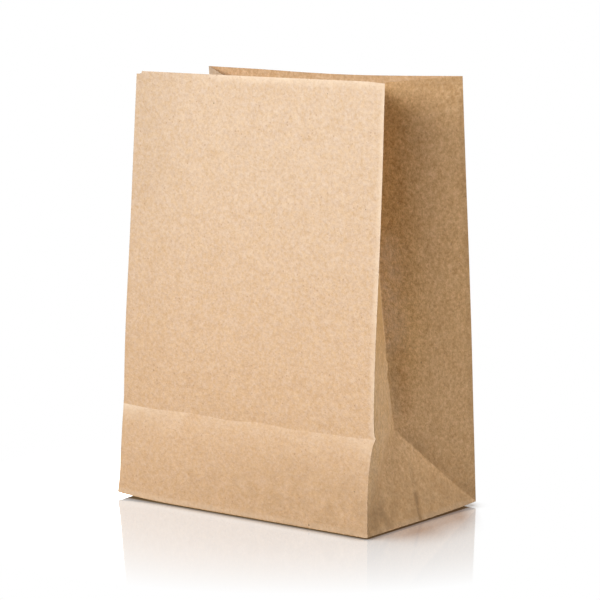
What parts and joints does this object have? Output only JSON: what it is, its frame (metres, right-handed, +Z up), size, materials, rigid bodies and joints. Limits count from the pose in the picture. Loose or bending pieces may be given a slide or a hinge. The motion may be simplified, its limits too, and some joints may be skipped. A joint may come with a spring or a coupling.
{
  "type": "paper lunch bag",
  "caption": "Open, free-standing kraft paper bag with folded side gussets, a glued block bottom and a lengthwise back seam.",
  "frame": {"origin": "on the floor, under the middle of the base", "axes": "+X to the right along the front panel, which faces -Y; +Z up to the open mouth"},
  "size_m": [0.183, 0.1082, 0.2505],
  "materials": {
    "kraft_paper": "unbleached brown kraft paper, matte, with fine fibre and a few dark specks"
  },
  "bodies": {
    "root": {"paper_bag": "kraft_paper"}
  },
  "joints": []
}
